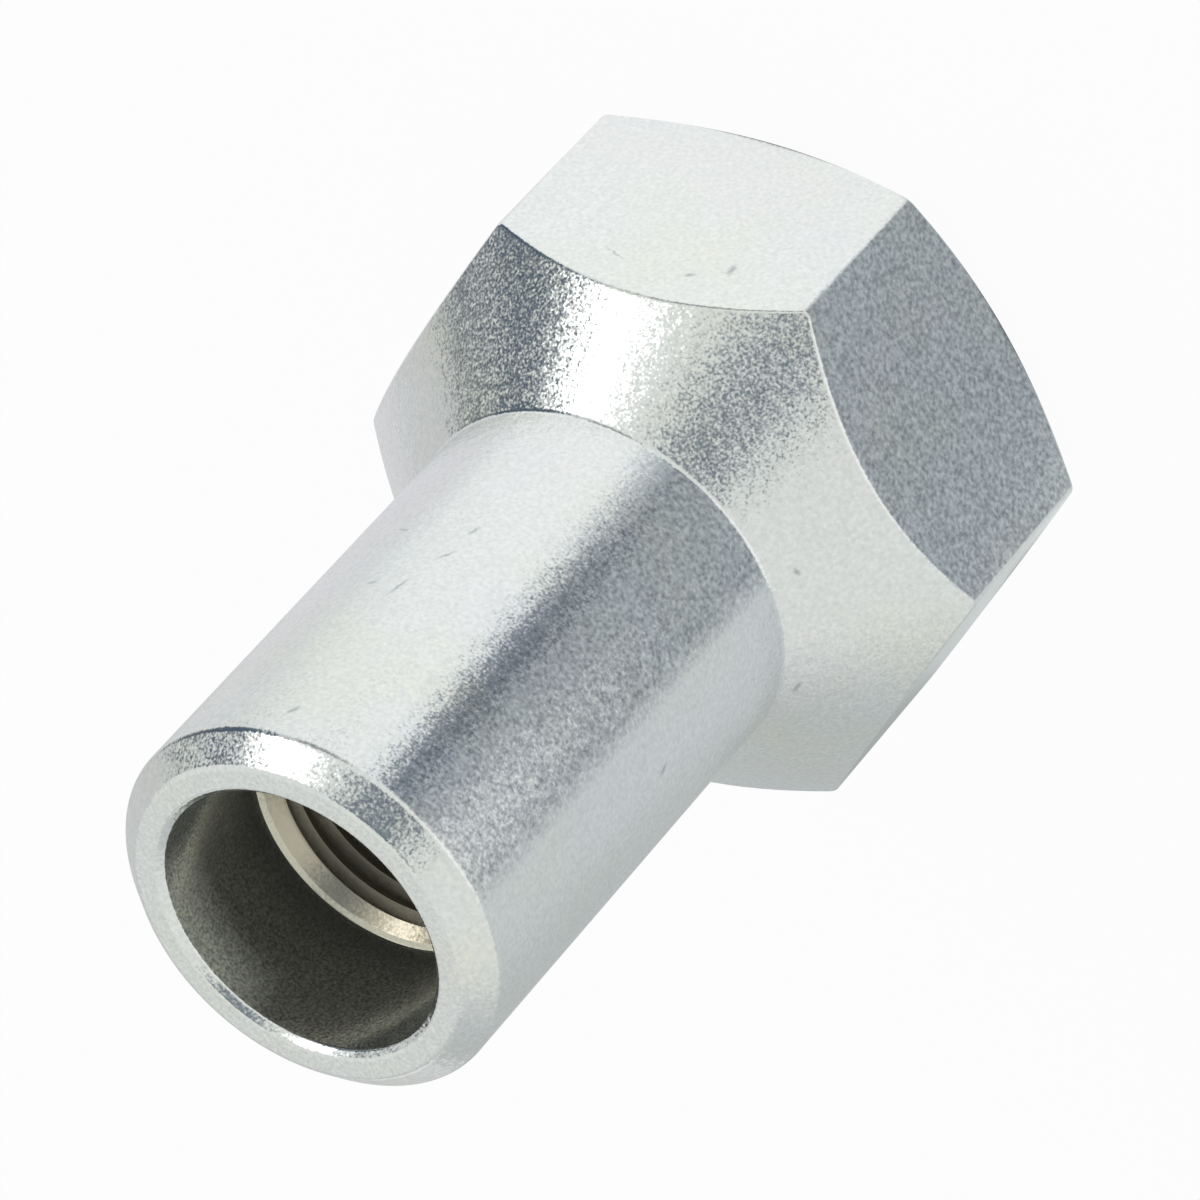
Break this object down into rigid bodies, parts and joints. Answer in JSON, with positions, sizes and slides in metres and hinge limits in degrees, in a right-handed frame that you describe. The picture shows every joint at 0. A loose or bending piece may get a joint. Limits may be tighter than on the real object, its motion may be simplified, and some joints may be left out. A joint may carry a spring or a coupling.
{
  "type": "wheel nut",
  "caption": "Long steel wheel nut: hexagon head, conical seat below it and a hollow straight shank, tapped right through, with a counterbore in the shank's open end. Clamps a wheel on its stud.",
  "frame": {"origin": "centre of the flat end face of the hexagon, on which the nut stands", "axes": "+Z along the thread's axis, from the hexagon towards the shank's open end; two corners of the hexagon lie on X"},
  "size_m": [0.0436, 0.038, 0.06],
  "materials": {
    "zinc_plated_steel": "bright zinc plating over a forged and turned surface"
  },
  "bodies": {
    "root": {"wheel_nut": "zinc_plated_steel"}
  },
  "joints": []
}
